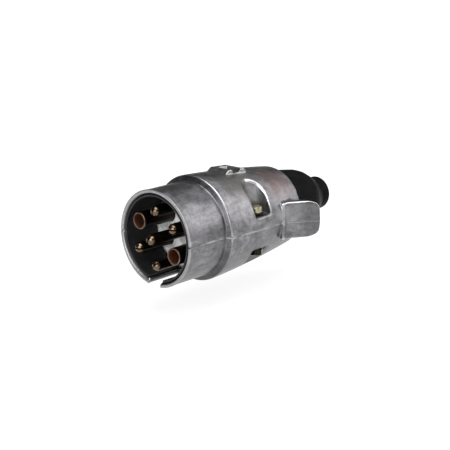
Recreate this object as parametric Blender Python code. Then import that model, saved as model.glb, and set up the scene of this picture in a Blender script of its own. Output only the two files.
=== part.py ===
"""Seven-pole trailer plug with a two-part die-cast housing.

The plug's axis is Y.  The shroud's front rim lies in the plane y = 0 and the rest is behind
it, towards +Y.  +Z is the side with the lid lug.  The housing splits along a level seam that
runs through the axis at the shroud and falls a little towards the rear.
"""

import math

import bmesh
import bpy
from mathutils import Matrix, Vector

# ---------------------------------------------------------------- driving dimensions (mm)

MM = 0.001
GAP = 0.3                   # clearance between pieces that touch
EDGE = 0.2                  # small bevel on the edges of turned parts
FAR = 40.0                  # reach of a cutter that runs clear of the plug

SEAM = 0.15                 # each shell stops this far from the parting surface
SEAM_KNEE = 22.0            # the parting surface is level up to here
SEAM_DROP = 2.2             # and lies this far below the axis at the barrel's rear end

SHROUD_R = 21.75            # outside of the shroud that enters the vehicle's socket
SHROUD_BORE_R = 19.75
SHROUD_LENGTH = 23.1        # rim to flange
RIM_CHAMFER = 0.4

FLANGE_R = 24.3             # largest radius of the barrel, at the flange
FLANGE_ROUND = 0.8
BARREL_START = 24.0
BARREL_TAPER = 0.046        # the radius falls by this times the distance behind BARREL_START
BARREL_CURVE = 0.00088      # and by this times its square
BARREL_END = 77.0
WALL = 2.4
STEP = 1.5                  # length of the slopes inside the barrel beside the rib and the wall

REAR_WALL_FRONT = 72.4      # rear wall that grips the boot's groove
REAR_WALL_BACK = 75.4
REAR_HOLE_R = 15.9
REAR_LIP_R = 17.9

KEY_WIDTH = 7.1             # key slot at the bottom of the shroud, a little to the left
KEY_CENTRE = -0.95
KEY_LENGTH = 19.4
KEY_DEPTH = 7.0             # the cutter starts this far below the axis
SKIRT_CLEARANCE = 1.2       # the carrier's skirt is cut back this far from the slot's sides

SCREW_X = 17.2              # housing screws, one on each side
SCREW_Y = 46.9
POCKET_R = 6.0
POCKET_WALL = 1.8
UPPER_FLOOR = 4.6           # pocket floor above the axis
LOWER_FLOOR = 11.0          # pocket floor below the axis
SCREW_HOLE_R = 2.0

LUG_HALF_WIDTH = 6.0        # lug on top that the socket's lid hooks over
LUG_SIDE = (                # its outline seen from the side, as (y, z)
    (39.5, 20.0), (39.5, 22.6), (42.0, 24.0), (51.5, 23.1), (53.0, 22.0), (53.0, 20.0))
LUG_NOTCH = (44.0, 49.4)    # notch in it for the lid's hook, front to rear
LUG_NOTCH_LEFT = -3.2       # the notch is closed on the left and open on the right
LUG_NOTCH_FLOOR = 22.75

WING_CENTRE = -1.0          # the wings sit a little below the axis
WING_HALF_HEIGHT = 8.6
WING_CORNER = 6.8
WING_PLAN = (               # plan of the right-hand finger wing, outer side first
    (20.0, 60.8), (21.5, 60.3), (22.4, 60.9), (22.4, 61.8), (22.0, 62.8),
    (24.1, 66.6), (26.4, 70.4), (28.5, 73.6), (30.4, 76.2), (30.5, 77.5), (29.6, 78.1),
    (28.1, 78.0), (25.6, 75.2), (22.9, 72.2), (20.0, 70.2), (19.0, 69.0))
WING_END = 78.1
WING_INNER_X = 15.0         # inner end of the cutter that rounds a wing's corners

CONTACT_RING_R = 12.3
PIN_R = 2.5
SLEEVE_R = 3.9
SLEEVE_BORE_R = 3.1
SLEEVE_DEPTH = 16.0
SLEEVE_FACE = 0.8           # set back from the rim
PIN_TIP = -1.2              # the pins stand a little in front of the rim
CENTRE_TIP = -4.2           # the earth pin stands further out and meets first
SKIRT_FACE = 0.8
PIN_SLOT = 0.7
PIN_SLOT_DEPTH = 8.0

TERMINAL_FRONT = 29.3
TERMINAL_BACK = 39.0
CENTRE_TERMINAL_BACK = 50.0
TERMINAL_R = 3.3
WIRE_BORE_R = 1.7
WIRE_BORE_DEPTH = 8.0
DRILL_POINT = 1.0           # depth of the cone at the bottom of a drilled hole
TERMINAL_SCREW_SETBACK = 4.5

CARRIER_R = 19.45
SKIRT_BORE_R = 18.65
CARRIER_FACE = 20.6
CARRIER_BACK = 29.0
CARRIER_FLANGE_R = 21.4
CARRIER_FLANGE = (25.3, 27.7)
DISC_R = 18.35
DISC_THICKNESS = 1.0

BOOT_R = 16.2
BOOT_COLLAR_R = 17.4        # collar inside the rear wall
BOOT_GROOVE_R = 15.6
BOOT_FRONT = 69.6
BOOT_END = 113.7
BOOT_BACK = (               # outside of its closing end, as (radius, y)
    (16.2, 82.0), (15.8, 87.5), (15.1, 92.0), (14.6, 95.5), (13.7, 98.2), (12.2, 101.0),
    (10.5, 104.0), (9.2, 106.3), (8.35, 107.8))
NECK_R = 8.2
NECK_ROUND = 0.8
BOOT_INSIDE = (             # inside, from the cable bore forwards, as (radius, y)
    (7.4, 103.5), (10.0, 100.0), (11.7, 96.5), (12.9, 92.0), (13.6, 86.0))
CABLE_BORE_R = 4.8
CABLE_BORE_FRONT = 107.0

CLAMP_FRONT = 60.5
CLAMP_BACK = 66.5
CLAMP_REACH = 12.0
CLAMP_BORE_R = 5.0
CLAMP_THICKNESS = 1.6
CLAMP_SCREW_X = 9.3
CLAMP_HOLE_R = 1.55
POST_TOP = -2.6             # posts that carry the cord clamp
POST_INSIDE = 6.4
POST_OUTSIDE = 12.2
POST_HOLE_BOTTOM = -10.5

# screws as (head radius, head height, shank radius)
HOUSING_SCREW = (2.9, 2.8, 1.6)
CLAMP_SCREW = (2.2, 1.6, 1.25)
TERMINAL_SCREW = (2.0, 1.6, 1.05)
TERMINAL_HOLE_R = 1.35
DRIVER_SLOT = 0.8
DRIVER_SLOT_DEPTH = 0.9
HOUSING_SLOT_ANGLE = 20.0   # how the screws' slots are turned, in degrees
CLAMP_SLOT_ANGLE = 35.0
TERMINAL_SLOT_ANGLE = 25.0
WASHER_R = 3.5
WASHER_THICKNESS = 0.6
THREAD_CLEAR_R = 1.95
NUT_CORNER_R = 3.46
NUT_HEIGHT = 2.7
CLAMP_SCREW_LENGTH = 8.0

SHELL_SEGMENTS = 48
BOOT_SEGMENTS = 32
CONTACT_SEGMENTS = 16
SCREW_SEGMENTS = 12
BOSS_SEGMENTS = 20
BARREL_STEPS = 9
CAVITY_STEPS = 4
CORNER_STEPS = 5
SADDLE_STEPS = 12

# name, angle on the ring (degrees from +X towards +Z), angle of the slot in its tip
PINS = (
    ("top", 90.0, 90.0),
    ("upper_right", 30.0, -60.0),
    ("bottom", -90.0, -45.0),
    ("lower_left", 210.0, 120.0),
)
SLEEVES = (("upper_left", 150.0), ("lower_right", -30.0))
CENTRE_SLOT_ANGLE = -70.0

# ---------------------------------------------------------------- materials


def finish(name, color, roughness, metallic):
    """A Principled material with one colour."""
    material = bpy.data.materials.new(name)
    material.use_nodes = True
    shader = material.node_tree.nodes["Principled BSDF"]
    shader.inputs["Base Color"].default_value = (*color, 1.0)
    shader.inputs["Roughness"].default_value = roughness
    shader.inputs["Metallic"].default_value = metallic
    material.diffuse_color = (*color, 1.0)
    return material


# ---------------------------------------------------------------- modelling helpers


def add_object(name, mesh, material=None):
    """Links a new object that holds the mesh."""
    obj = bpy.data.objects.new(name, mesh)
    bpy.context.scene.collection.objects.link(obj)
    if material:
        mesh.materials.append(material)
    return obj


def mesh_from(name, bm):
    """Turns a closed bmesh into a smooth-shaded mesh with its faces pointing out."""
    bmesh.ops.recalc_face_normals(bm, faces=bm.faces)
    mesh = bpy.data.meshes.new(name)
    bm.to_mesh(mesh)
    bm.free()
    mesh.shade_smooth()
    mesh.set_sharp_from_angle(angle=math.radians(35.0))
    return mesh


def turned(name, outline, segments, axis="Y", closed=False):
    """A solid of revolution: outline holds (radius, distance along the axis) in mm."""
    along = Vector((0.0, 1.0, 0.0)) if axis == "Y" else Vector((0.0, 0.0, 1.0))
    bm = bmesh.new()
    verts = [bm.verts.new(Vector((r * MM, 0.0, 0.0)) + along * (a * MM)) for r, a in outline]
    edges = [bm.edges.new(pair) for pair in zip(verts, verts[1:])]
    if closed:
        edges.append(bm.edges.new((verts[-1], verts[0])))
    bmesh.ops.spin(bm, geom=verts + edges, cent=(0.0, 0.0, 0.0), axis=along,
                   angle=math.tau, steps=segments, use_merge=True)
    bmesh.ops.remove_doubles(bm, verts=bm.verts, dist=1e-7)
    return mesh_from(name, bm)


def prism(name, outline, start, end, to_world):
    """A flat outline (mm) pushed from start to end; to_world places (u, v, depth)."""
    bm = bmesh.new()
    face = bm.faces.new([bm.verts.new(Vector(to_world(u, v, start)) * MM) for u, v in outline])
    moved = bmesh.ops.extrude_face_region(bm, geom=[face])["geom"]
    push = (Vector(to_world(0.0, 0.0, end)) - Vector(to_world(0.0, 0.0, start))) * MM
    bmesh.ops.translate(bm, vec=push, verts=[g for g in moved if isinstance(g, bmesh.types.BMVert)])
    return mesh_from(name, bm)


def block(name, low, high):
    """A box between two corners in mm."""
    bm = bmesh.new()
    size = [b - a for a, b in zip(low, high)]
    centre = [(a + b) / 2 for a, b in zip(low, high)]
    place = Matrix.Translation(Vector(centre) * MM) @ Matrix.Diagonal((*[s * MM for s in size], 1.0))
    bmesh.ops.create_cube(bm, size=1.0, matrix=place)
    return mesh_from(name, bm)


def rods(name, rods_mm, segments, axis="Y"):
    """Parallel cylinders in one mesh: each rod is (x, other, radius, start, end) in mm."""
    bm = bmesh.new()
    for x, other, radius, start, end in rods_mm:
        middle = (start + end) / 2
        if axis == "Y":
            place = Matrix.Translation(Vector((x, middle, other)) * MM)
            place = place @ Matrix.Rotation(math.pi / 2, 4, "X")
        else:
            place = Matrix.Translation(Vector((x, other, middle)) * MM)
        bmesh.ops.create_cone(bm, cap_ends=True, segments=segments, radius1=radius * MM,
                              radius2=radius * MM, depth=(end - start) * MM, matrix=place)
    return mesh_from(name, bm)


def tool(name, mesh, parent=None):
    """A cutter or guide, which isn't part of the plug."""
    obj = add_object(name, mesh)
    obj.hide_render = True
    obj.display_type = "WIRE"
    obj.parent = parent
    return obj


def combine(target, other, operation, solver="EXACT"):
    """Adds a Boolean of the given kind."""
    modifier = target.modifiers.new(other.name, "BOOLEAN")
    modifier.operation = operation
    modifier.solver = solver
    modifier.object = other


def ring_point(angle, radius=CONTACT_RING_R):
    """Position (x, z) in mm on the contact ring."""
    return radius * math.cos(math.radians(angle)), radius * math.sin(math.radians(angle))


def outward_turn(angle):
    """Rotation about Y that takes local +Z to the outward direction at this angle."""
    return math.radians(90.0 - angle)


# ---------------------------------------------------------------- housing


def barrel_radius(y):
    """Outside radius of the barrel behind the flange."""
    back = y - BARREL_START
    return FLANGE_R - BARREL_TAPER * back - BARREL_CURVE * back * back


def housing_outline():
    """Outside of the whole housing, front to rear."""
    points = [(0.0, 0.0), (SHROUD_R - RIM_CHAMFER, 0.0), (SHROUD_R, RIM_CHAMFER),
              (SHROUD_R, SHROUD_LENGTH), (FLANGE_R - FLANGE_ROUND, SHROUD_LENGTH),
              (FLANGE_R - FLANGE_ROUND / 4, SHROUD_LENGTH + FLANGE_ROUND / 4)]
    last = BARREL_END - RIM_CHAMFER
    for k in range(BARREL_STEPS + 1):
        y = BARREL_START + (last - BARREL_START) * k / BARREL_STEPS
        points.append((barrel_radius(y), y))
    points += [(barrel_radius(last) - RIM_CHAMFER, BARREL_END), (0.0, BARREL_END)]
    return points


def cavity_outline():
    """Inside of the housing: shroud bore, carrier groove, wiring space and boot seat."""
    groove_front = CARRIER_FLANGE[0] - GAP
    groove_back = CARRIER_FLANGE[1] + GAP
    groove_r = CARRIER_FLANGE_R + GAP
    rib_r = CARRIER_R + 2 * GAP
    rib_back = groove_back + STEP
    points = [(0.0, -1.0), (SHROUD_BORE_R, -1.0), (SHROUD_BORE_R, groove_front),
              (groove_r, groove_front), (groove_r, groove_back), (rib_r, groove_back),
              (rib_r, rib_back)]
    start = rib_back + STEP
    for k in range(CAVITY_STEPS + 1):
        y = start + (REAR_WALL_FRONT - STEP - start) * k / CAVITY_STEPS
        points.append((barrel_radius(y) - WALL, y))
    points += [(REAR_LIP_R, REAR_WALL_FRONT), (REAR_HOLE_R, REAR_WALL_FRONT),
               (REAR_HOLE_R, REAR_WALL_BACK), (REAR_LIP_R, REAR_WALL_BACK),
               (REAR_LIP_R, BARREL_END + 1.0), (0.0, BARREL_END + 1.0)]
    return points


def wing(name, side):
    """Finger wing on one side (+1 right, -1 left), with its outer corners rounded."""
    low = WING_CENTRE - WING_HALF_HEIGHT
    high = WING_CENTRE + WING_HALF_HEIGHT
    outline = [(side * x, y) for x, y in WING_PLAN]
    plate = tool(name, prism(name, outline, low, high, lambda u, v, depth: (u, v, depth)))
    side_view = [(SHROUD_LENGTH, low), (SHROUD_LENGTH, high)]
    round_y = WING_END - WING_CORNER
    for centre_z, first in ((high - WING_CORNER, 90.0), (low + WING_CORNER, 0.0)):
        for k in range(CORNER_STEPS + 1):
            turn = math.radians(first - 90.0 * k / CORNER_STEPS)
            side_view.append((round_y + WING_CORNER * math.cos(turn),
                              centre_z + WING_CORNER * math.sin(turn)))
    corners = prism(name + "_corners", side_view, side * WING_INNER_X, side * FAR,
                    lambda u, v, depth: (depth, u, v))
    combine(plate, tool(name + "_corners", corners), "INTERSECT")
    return plate


def side_rods(name, radius, low, high, segments):
    """A pair of vertical rods on the axes of the housing screws."""
    places = [(side * SCREW_X, SCREW_Y, radius, low, high) for side in (-1, 1)]
    return tool(name, rods(name, places, segments, axis="Z"))


def screw_pockets(name, low, high):
    """Cutter for both screw pockets of one shell: round inside, open at the sides."""
    pockets = side_rods(name, POCKET_R, low, high, BOSS_SEGMENTS)
    for side in (-1, 1):
        near, out = sorted((side * SCREW_X, side * FAR))
        opening = tool(f"{name}_opening_{side}", block("opening", (near, SCREW_Y - POCKET_R, low),
                                                       (out, SCREW_Y + POCKET_R, high)))
        combine(pockets, opening, "UNION")
    return pockets


def other_half(name, upper):
    """Everything on the far side of the parting surface."""
    offset = SEAM if upper else -SEAM
    edge = [(-FAR, offset), (SEAM_KNEE, offset), (BARREL_END, offset - SEAM_DROP),
            (2 * BARREL_END, offset - SEAM_DROP)]
    far_z = -FAR if upper else FAR
    outline = edge + [(2 * BARREL_END, far_z), (-FAR, far_z)]
    return tool(name, prism(name, outline, -FAR, FAR, lambda u, v, depth: (depth, u, v)))


def shell(name, upper, material):
    """One half of the housing."""
    body = add_object(name, turned(name, housing_outline(), SHELL_SEGMENTS), material)
    for label, side in (("right", 1), ("left", -1)):
        combine(body, wing(f"{name}_wing_{label}", side), "UNION", "MANIFOLD")
    if upper:
        lug = prism("lid_lug", LUG_SIDE, -LUG_HALF_WIDTH, LUG_HALF_WIDTH,
                    lambda u, v, depth: (depth, u, v))
        combine(body, tool("lid_lug", lug), "UNION", "MANIFOLD")
    combine(body, other_half(f"{name}_other_half", upper), "DIFFERENCE", "MANIFOLD")

    cavity = tool(f"{name}_cavity", turned("cavity", cavity_outline(), SHELL_SEGMENTS))
    bosses = side_rods(f"{name}_bosses", POCKET_R + POCKET_WALL, -FAR, FAR, BOSS_SEGMENTS)
    combine(cavity, bosses, "DIFFERENCE", "MANIFOLD")
    if not upper:
        for side in (-1, 1):
            near, out = sorted((side * POST_INSIDE, side * POST_OUTSIDE))
            post = tool(f"clamp_post_{side}", block("post", (near, CLAMP_FRONT, -FAR),
                                                    (out, CLAMP_BACK, POST_TOP)))
            combine(cavity, post, "DIFFERENCE", "MANIFOLD")
    combine(body, cavity, "DIFFERENCE", "MANIFOLD")

    pocket_range = (UPPER_FLOOR, FAR) if upper else (-FAR, -LOWER_FLOOR)
    combine(body, screw_pockets(f"{name}_pockets", *pocket_range), "DIFFERENCE", "MANIFOLD")
    screw_holes = side_rods(f"{name}_screw_holes", SCREW_HOLE_R, -FAR, FAR, SCREW_SEGMENTS)
    combine(body, screw_holes, "DIFFERENCE", "MANIFOLD")
    if upper:
        notch = block("lug_notch", (LUG_NOTCH_LEFT, LUG_NOTCH[0], LUG_NOTCH_FLOOR),
                      (FAR, LUG_NOTCH[1], FAR))
        combine(body, tool("lug_notch", notch), "DIFFERENCE", "MANIFOLD")
    else:
        combine(body, key_cutter("key_slot", 0.0), "DIFFERENCE", "MANIFOLD")
        places = [(side * CLAMP_SCREW_X, clamp_middle(), CLAMP_HOLE_R, POST_HOLE_BOTTOM, 0.0)
                  for side in (-1, 1)]
        holes = tool("clamp_holes", rods("clamp_holes", places, SCREW_SEGMENTS, axis="Z"))
        combine(body, holes, "DIFFERENCE", "MANIFOLD")
    return body


def key_cutter(name, clearance):
    """Cutter for the slot that the vehicle socket's key rib slides into."""
    half = KEY_WIDTH / 2 + clearance
    return tool(name, block(name, (KEY_CENTRE - half, -1.0, -FAR),
                            (KEY_CENTRE + half, KEY_LENGTH, -KEY_DEPTH)))


def clamp_middle():
    """Distance of the clamp screws behind the rim."""
    return (CLAMP_FRONT + CLAMP_BACK) / 2


# ---------------------------------------------------------------- insulating parts


def contact_holes(name, start, end):
    """Clearance holes for all seven contacts."""
    places = [(0.0, 0.0, PIN_R + GAP, start, end)]
    for _, angle, _ in PINS:
        places.append((*ring_point(angle), PIN_R + GAP, start, end))
    for _, angle in SLEEVES:
        places.append((*ring_point(angle), SLEEVE_R + GAP, start, end))
    return tool(name, rods(name, places, CONTACT_SEGMENTS))


def contact_carrier(material):
    """Moulded insert: the skirt lines the shroud and the base holds the contacts."""
    outline = [(0.0, CARRIER_FACE), (SKIRT_BORE_R, CARRIER_FACE), (SKIRT_BORE_R, SKIRT_FACE + EDGE),
               (SKIRT_BORE_R + EDGE, SKIRT_FACE), (CARRIER_R - EDGE, SKIRT_FACE),
               (CARRIER_R, SKIRT_FACE + EDGE), (CARRIER_R, CARRIER_FLANGE[0]),
               (CARRIER_FLANGE_R, CARRIER_FLANGE[0]), (CARRIER_FLANGE_R, CARRIER_FLANGE[1]),
               (CARRIER_R, CARRIER_FLANGE[1]), (CARRIER_R, CARRIER_BACK), (0.0, CARRIER_BACK)]
    carrier = add_object("contact_carrier", turned("contact_carrier", outline, SHELL_SEGMENTS), material)
    combine(carrier, contact_holes("carrier_holes", SKIRT_FACE, CARRIER_BACK + 1.0), "DIFFERENCE")
    combine(carrier, key_cutter("carrier_key", SKIRT_CLEARANCE), "DIFFERENCE")
    return carrier


def face_disc(material):
    """Light disc that lies on the carrier's base around the contacts."""
    back = CARRIER_FACE - GAP
    front = back - DISC_THICKNESS
    outline = [(0.0, front), (DISC_R - EDGE, front), (DISC_R, front + EDGE), (DISC_R, back), (0.0, back)]
    disc = add_object("face_disc", turned("face_disc", outline, SHELL_SEGMENTS), material)
    combine(disc, contact_holes("disc_holes", front - 1.0, back + 1.0), "DIFFERENCE")
    return disc


def cable_boot(material):
    """Rubber boot: its groove sits in the housing's rear wall and its neck grips the cable."""
    outline = [(BOOT_COLLAR_R, BOOT_FRONT), (BOOT_COLLAR_R, REAR_WALL_FRONT - GAP),
               (BOOT_GROOVE_R, REAR_WALL_FRONT - GAP), (BOOT_GROOVE_R, REAR_WALL_BACK + GAP),
               (BOOT_R, REAR_WALL_BACK + GAP), *BOOT_BACK, (NECK_R, BOOT_BACK[-1][1] + NECK_ROUND),
               (NECK_R, BOOT_END - NECK_ROUND), (NECK_R - NECK_ROUND, BOOT_END),
               (CABLE_BORE_R, BOOT_END), (CABLE_BORE_R, CABLE_BORE_FRONT), *BOOT_INSIDE,
               (BOOT_INSIDE[-1][0], BOOT_FRONT)]
    return add_object("cable_boot", turned("cable_boot", outline, BOOT_SEGMENTS, closed=True), material)


# ---------------------------------------------------------------- contacts


def rear_terminal(radius, back):
    """Rear part of a contact's outline, with the bore that takes the wire."""
    bottom = back - WIRE_BORE_DEPTH
    return [(radius, back - EDGE), (radius - EDGE, back), (WIRE_BORE_R, back),
            (WIRE_BORE_R, bottom), (0.0, bottom - DRILL_POINT)]


def pin_mesh(name, tip, back):
    """Domed pin with its screw terminal, along Y."""
    dome = [(PIN_R * math.sin(math.radians(a)), tip + PIN_R * (1.0 - math.cos(math.radians(a))))
            for a in (0.0, 25.0, 50.0, 72.0, 90.0)]
    outline = dome + [(PIN_R, TERMINAL_FRONT), (TERMINAL_R, TERMINAL_FRONT)]
    return turned(name, outline + rear_terminal(TERMINAL_R, back), CONTACT_SEGMENTS)


def sleeve_mesh(name):
    """Open sleeve with its screw terminal, along Y."""
    bottom = SLEEVE_FACE + SLEEVE_DEPTH
    outline = [(0.0, bottom + DRILL_POINT), (SLEEVE_BORE_R, bottom), (SLEEVE_BORE_R, SLEEVE_FACE + EDGE),
               (SLEEVE_BORE_R + EDGE, SLEEVE_FACE), (SLEEVE_R - EDGE, SLEEVE_FACE),
               (SLEEVE_R, SLEEVE_FACE + EDGE)]
    return turned(name, outline + rear_terminal(SLEEVE_R, TERMINAL_BACK), CONTACT_SEGMENTS)


def screw(name, sizes, length, material, slot_angle):
    """A slotted cheese-head screw along Z, with its origin under the head."""
    head_r, head_height, shank_r = sizes
    outline = [(0.0, head_height), (head_r - EDGE, head_height), (head_r, head_height - EDGE),
               (head_r, 0.0), (shank_r, 0.0), (shank_r, EDGE - length), (shank_r - EDGE, -length),
               (0.0, -length)]
    obj = add_object(name, turned(name, outline, SCREW_SEGMENTS, axis="Z"), material)
    slot = block("slot", (-FAR, -DRIVER_SLOT / 2, head_height - DRIVER_SLOT_DEPTH),
                 (FAR, DRIVER_SLOT / 2, FAR))
    slot_tool = tool(name + "_slot", slot, parent=obj)
    slot_tool.rotation_euler = (0.0, 0.0, math.radians(slot_angle))
    combine(obj, slot_tool, "DIFFERENCE")
    return obj


def contact(name, mesh, angle, back, material, slot_angle=None, tip=PIN_TIP):
    """Places a contact on the ring (angle None is the centre) and cuts its slot and screw hole."""
    obj = add_object(name, mesh, material)
    hole_y = back - TERMINAL_SCREW_SETBACK
    hole = rods("hole", [(0.0, hole_y, TERMINAL_HOLE_R, 0.0, FAR)], SCREW_SEGMENTS, axis="Z")
    combine(obj, tool(name + "_screw_hole", hole, parent=obj), "DIFFERENCE")
    if slot_angle is not None:
        split = block("split", (-FAR, tip - 1.0, -PIN_SLOT / 2), (FAR, tip + PIN_SLOT_DEPTH, PIN_SLOT / 2))
        split_tool = tool(name + "_split", split, parent=obj)
        split_tool.rotation_euler = (0.0, math.radians(slot_angle), 0.0)
        combine(obj, split_tool, "DIFFERENCE")
    x, z = (0.0, 0.0) if angle is None else ring_point(angle)
    obj.location = Vector((x, 0.0, z)) * MM
    obj.rotation_euler = (0.0, 0.0 if angle is None else outward_turn(angle), 0.0)
    return obj


def terminal_screw(name, angle, radius, back, material):
    """Screw that clamps a wire in a terminal; it points at the contact's axis."""
    obj = screw(name, TERMINAL_SCREW, radius - GAP, material, TERMINAL_SLOT_ANGLE)
    y = back - TERMINAL_SCREW_SETBACK
    if angle is None:
        x, z, turn = 0.0, radius + GAP, 0.0
    else:
        x, z = ring_point(angle, CONTACT_RING_R + radius + GAP)
        turn = outward_turn(angle)
    obj.location = Vector((x, y, z)) * MM
    obj.rotation_euler = (0.0, turn, 0.0)
    return obj


# ---------------------------------------------------------------- fasteners and clamp


def housing_fasteners(label, side, brass):
    """Screw, washer and nut that hold the two shells together on one side."""
    washer_seat = UPPER_FLOOR + GAP
    head_seat = washer_seat + WASHER_THICKNESS + GAP
    nut_top = -LOWER_FLOOR - GAP
    length = head_seat - nut_top + NUT_HEIGHT + 2 * GAP
    bolt = screw(f"housing_screw_{label}", HOUSING_SCREW, length, brass,
                 side * HOUSING_SLOT_ANGLE)
    bolt.location = Vector((side * SCREW_X, SCREW_Y, head_seat)) * MM

    ring = [(THREAD_CLEAR_R, 0.0), (WASHER_R, 0.0), (WASHER_R, WASHER_THICKNESS),
            (THREAD_CLEAR_R, WASHER_THICKNESS)]
    washer_mesh = turned("washer", ring, SCREW_SEGMENTS, axis="Z", closed=True)
    washer = add_object(f"housing_washer_{label}", washer_mesh, brass)
    washer.location = Vector((side * SCREW_X, SCREW_Y, washer_seat)) * MM

    nut_name = f"housing_nut_{label}"
    nut = add_object(nut_name, rods("nut", [(0.0, 0.0, NUT_CORNER_R, -NUT_HEIGHT, 0.0)], 6, axis="Z"), brass)
    thread = rods("thread", [(0.0, 0.0, THREAD_CLEAR_R, -FAR, FAR)], SCREW_SEGMENTS, axis="Z")
    combine(nut, tool(nut_name + "_thread", thread, parent=nut), "DIFFERENCE")
    nut.location = Vector((side * SCREW_X, SCREW_Y, nut_top)) * MM


def arc(radius, first, last, steps):
    """Points on a circle about the origin, from one angle to another in degrees."""
    angles = [math.radians(first + (last - first) * k / steps) for k in range(steps + 1)]
    return [(radius * math.cos(a), radius * math.sin(a)) for a in angles]


def cord_clamp(steel):
    """Saddle that holds the cable down on the lower shell's two posts, and its screws."""
    base = POST_TOP + GAP
    top = base + CLAMP_THICKNESS
    outer_r = CLAMP_BORE_R + CLAMP_THICKNESS
    foot_angle = math.degrees(math.asin(top / outer_r))
    outline = [(CLAMP_REACH, base), (CLAMP_REACH, top),
               *arc(outer_r, foot_angle, 180.0 - foot_angle, SADDLE_STEPS),
               (-CLAMP_REACH, top), (-CLAMP_REACH, base), (-CLAMP_BORE_R, base),
               *arc(CLAMP_BORE_R, 180.0, 0.0, SADDLE_STEPS), (CLAMP_BORE_R, base)]
    saddle = add_object("cord_clamp", prism("cord_clamp", outline, CLAMP_FRONT, CLAMP_BACK,
                                            lambda u, v, depth: (u, depth, v)), steel)
    places = [(side * CLAMP_SCREW_X, clamp_middle(), CLAMP_HOLE_R, base - 1.0, top + 1.0)
              for side in (-1, 1)]
    holes = rods("clamp_screw_holes", places, SCREW_SEGMENTS, axis="Z")
    combine(saddle, tool("clamp_screw_holes", holes), "DIFFERENCE")
    for label, side in (("right", 1), ("left", -1)):
        bolt = screw(f"clamp_screw_{label}", CLAMP_SCREW, CLAMP_SCREW_LENGTH, steel,
                     side * CLAMP_SLOT_ANGLE)
        bolt.location = Vector((side * CLAMP_SCREW_X, clamp_middle(), top + GAP)) * MM


# ---------------------------------------------------------------- assembly


def build():
    """Makes the whole plug."""
    for obj in list(bpy.data.objects):
        bpy.data.objects.remove(obj)

    aluminium = finish("cast_aluminium", (0.42, 0.42, 0.43), 0.38, 1.0)
    brass = finish("brass", (0.62, 0.45, 0.22), 0.3, 1.0)
    black = finish("black_plastic", (0.015, 0.015, 0.016), 0.5, 0.0)
    grey = finish("light_plastic", (0.5, 0.5, 0.52), 0.4, 0.0)
    rubber = finish("black_rubber", (0.012, 0.012, 0.013), 0.55, 0.0)
    steel = finish("zinc_steel", (0.55, 0.55, 0.56), 0.35, 1.0)

    shell("upper_shell", True, aluminium)
    shell("lower_shell", False, aluminium)
    contact_carrier(black)
    face_disc(grey)
    cable_boot(rubber)

    for place, angle, slot_angle in PINS:
        name = f"pin_{place}"
        contact(name, pin_mesh(name, PIN_TIP, TERMINAL_BACK), angle, TERMINAL_BACK, brass, slot_angle)
        terminal_screw(f"terminal_screw_{place}", angle, TERMINAL_R, TERMINAL_BACK, steel)
    for place, angle in SLEEVES:
        name = f"sleeve_{place}"
        contact(name, sleeve_mesh(name), angle, TERMINAL_BACK, brass)
        terminal_screw(f"terminal_screw_{place}", angle, SLEEVE_R, TERMINAL_BACK, steel)
    contact("pin_centre", pin_mesh("pin_centre", CENTRE_TIP, CENTRE_TERMINAL_BACK), None,
            CENTRE_TERMINAL_BACK, brass, CENTRE_SLOT_ANGLE, CENTRE_TIP)
    terminal_screw("terminal_screw_centre", None, TERMINAL_R, CENTRE_TERMINAL_BACK, steel)

    for label, side in (("right", 1), ("left", -1)):
        housing_fasteners(label, side, brass)
    cord_clamp(steel)


build()
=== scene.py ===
"""Looks for the seven-pole trailer plug: fine cast shells, contacts, boot, fasteners and studio.

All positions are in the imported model's frame: the plug's axis is Y, the shroud's rim lies in the
plane y = 0, and +Z is the side with the lid lug.
"""

import math

import bmesh
import bpy
import numpy as np
from mathutils import Matrix, Vector, noise


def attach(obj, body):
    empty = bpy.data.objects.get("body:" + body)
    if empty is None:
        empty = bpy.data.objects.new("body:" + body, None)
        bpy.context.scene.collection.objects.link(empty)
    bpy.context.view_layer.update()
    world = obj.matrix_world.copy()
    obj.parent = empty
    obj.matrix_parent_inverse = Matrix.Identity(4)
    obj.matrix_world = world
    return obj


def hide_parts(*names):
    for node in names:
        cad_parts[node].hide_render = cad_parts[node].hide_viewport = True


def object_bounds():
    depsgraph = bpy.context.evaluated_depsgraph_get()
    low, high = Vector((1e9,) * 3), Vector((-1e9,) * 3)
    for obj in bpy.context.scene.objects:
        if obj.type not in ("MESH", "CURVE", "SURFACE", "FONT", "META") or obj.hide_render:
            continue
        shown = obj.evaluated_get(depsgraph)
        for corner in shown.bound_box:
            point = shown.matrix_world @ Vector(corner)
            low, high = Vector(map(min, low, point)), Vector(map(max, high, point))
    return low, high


MM = 0.001

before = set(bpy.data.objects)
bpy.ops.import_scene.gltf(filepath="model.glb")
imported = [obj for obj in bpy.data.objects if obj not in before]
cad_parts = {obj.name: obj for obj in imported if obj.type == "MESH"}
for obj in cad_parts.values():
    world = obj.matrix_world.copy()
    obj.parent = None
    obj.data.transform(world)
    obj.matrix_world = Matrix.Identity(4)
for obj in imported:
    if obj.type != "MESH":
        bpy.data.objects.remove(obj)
cad_low, cad_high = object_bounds()

# ---------------------------------------------------------------- dimensions (mm)

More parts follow.
